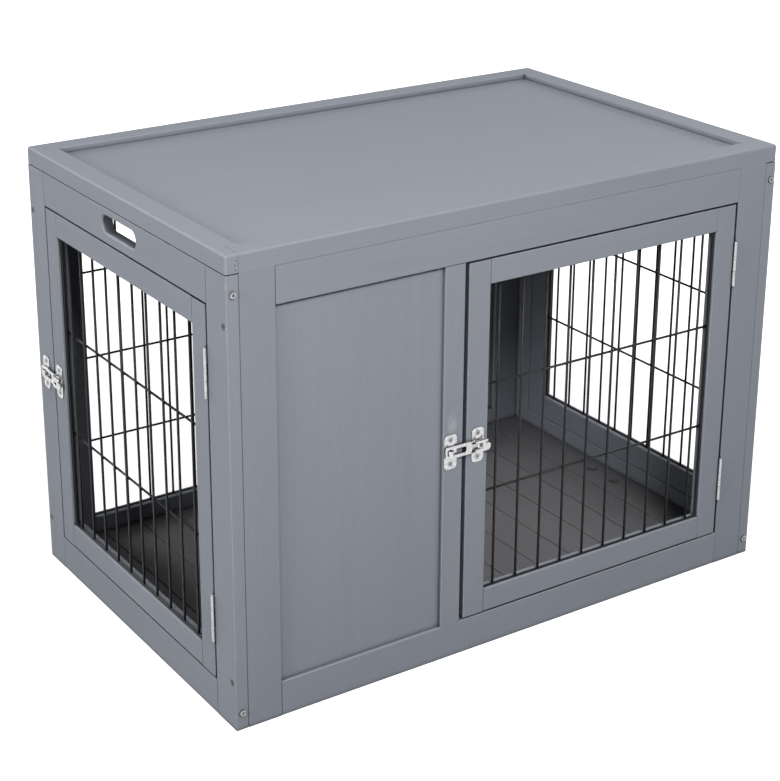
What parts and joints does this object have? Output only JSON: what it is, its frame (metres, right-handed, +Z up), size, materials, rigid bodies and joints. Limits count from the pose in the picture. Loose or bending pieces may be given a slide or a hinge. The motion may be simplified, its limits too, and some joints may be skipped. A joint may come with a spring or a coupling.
{
  "type": "dog crate end table",
  "caption": "End table over a pet crate: painted stile-and-rail case with sunk tray top, wire grilles, hinged front and end doors with toggle latches, and a grooved floor.",
  "frame": {"origin": "on the ground, under the middle of the whole object", "axes": "+Z up, the front with the panel and the large door faces -Y, the end with the second door faces -X"},
  "size_m": [0.8074, 0.5216, 0.577],
  "materials": {
    "painted_wood": "satin grey paint",
    "bare_wood": "bare beech",
    "black_wire": "satin black powder coat",
    "latch_steel": "bright nickel plate",
    "hinge_steel": "bright zinc plate",
    "bolt_steel": "bright zinc plate",
    "dark_screw_steel": "dark oxide"
  },
  "bodies": {
    "case": {"back_bottom_rail": "painted_wood", "back_centre_stile": "painted_wood", "back_grille": "black_wire", "back_left_stile": "painted_wood", "back_panel": "painted_wood", "back_right_stile": "painted_wood", "back_top_rail": "painted_wood", "cap_dowels": "bare_wood", "cap_rail_back": "painted_wood", "cap_rail_front": "painted_wood", "cap_rail_left": "painted_wood", "cap_rail_right": "painted_wood", "case_bolts": "bolt_steel", "case_screws": "dark_screw_steel", "floor_board": "painted_wood", "floor_cleats": "painted_wood", "front_bottom_rail": "painted_wood", "front_centre_stile": "painted_wood", "front_left_stile": "painted_wood", "front_panel": "painted_wood", "front_right_stile": "painted_wood", "front_top_rail": "painted_wood", "hinge_frame_leaves": "hinge_steel", "hinge_pins": "hinge_steel", "latch_keepers": "latch_steel", "left_back_post": "painted_wood", "left_bottom_rail": "painted_wood", "left_front_post": "painted_wood", "left_top_rail": "painted_wood", "right_back_post": "painted_wood", "right_bottom_rail": "painted_wood", "right_front_post": "painted_wood", "right_grille": "black_wire", "right_sash_back_stile": "painted_wood", "right_sash_bottom_rail": "painted_wood", "right_sash_front_stile": "painted_wood", "right_sash_top_rail": "painted_wood", "right_top_rail": "painted_wood", "top_panel": "painted_wood"},
    "front_door": {"front_door_bottom_rail": "painted_wood", "front_door_grille": "black_wire", "front_door_hinge_stile": "painted_wood", "front_door_latch_stile": "painted_wood", "front_door_top_rail": "painted_wood", "front_hinge_door_leaves": "hinge_steel", "front_latch_base": "latch_steel"},
    "front_lever": {"front_latch_lever": "latch_steel", "front_latch_link_pin": "latch_steel"},
    "front_link": {"front_latch_link": "latch_steel"},
    "end_door": {"end_door_bottom_rail": "painted_wood", "end_door_grille": "black_wire", "end_door_hinge_stile": "painted_wood", "end_door_latch_stile": "painted_wood", "end_door_top_rail": "painted_wood", "end_hinge_door_leaves": "hinge_steel", "end_latch_base": "latch_steel"},
    "end_lever": {"end_latch_lever": "latch_steel", "end_latch_link_pin": "latch_steel"},
    "end_link": {"end_latch_link": "latch_steel"}
  },
  "joints": [
    {"name": "front_door_hinge", "type": "hinge", "parent": "case", "child": "front_door", "pos_m": [0.3411, -0.2552, 0.2775], "axis": [0, 0, 1], "range_deg": [0, 175]},
    {"name": "front_latch_lever_pivot", "type": "hinge", "parent": "front_door", "child": "front_lever", "pos_m": [-0.0677, -0.2572, 0.2775], "axis": [0, 0, -1], "range_deg": [0, 120]},
    {"name": "front_latch_link_pivot", "type": "hinge", "parent": "front_lever", "child": "front_link", "pos_m": [-0.0617, -0.2569, 0.2775], "axis": [0, 0, -1], "range_deg": [-120, 0]},
    {"name": "end_door_hinge", "type": "hinge", "parent": "case", "child": "end_door", "pos_m": [-0.3981, -0.2068, 0.2775], "axis": [0, 0, 1], "range_deg": [0, 175]},
    {"name": "end_latch_lever_pivot", "type": "hinge", "parent": "end_door", "child": "end_lever", "pos_m": [-0.4001, 0.202, 0.2775], "axis": [0, 0, -1], "range_deg": [0, 120]},
    {"name": "end_latch_link_pivot", "type": "hinge", "parent": "end_lever", "child": "end_link", "pos_m": [-0.3998, 0.196, 0.2775], "axis": [0, 0, -1], "range_deg": [-120, 0]}
  ],
  "couplings": [
    {"joint": "front_latch_link_pivot", "follows": "front_latch_lever_pivot", "ratio": -1},
    {"joint": "end_latch_link_pivot", "follows": "end_latch_lever_pivot", "ratio": -1}
  ]
}
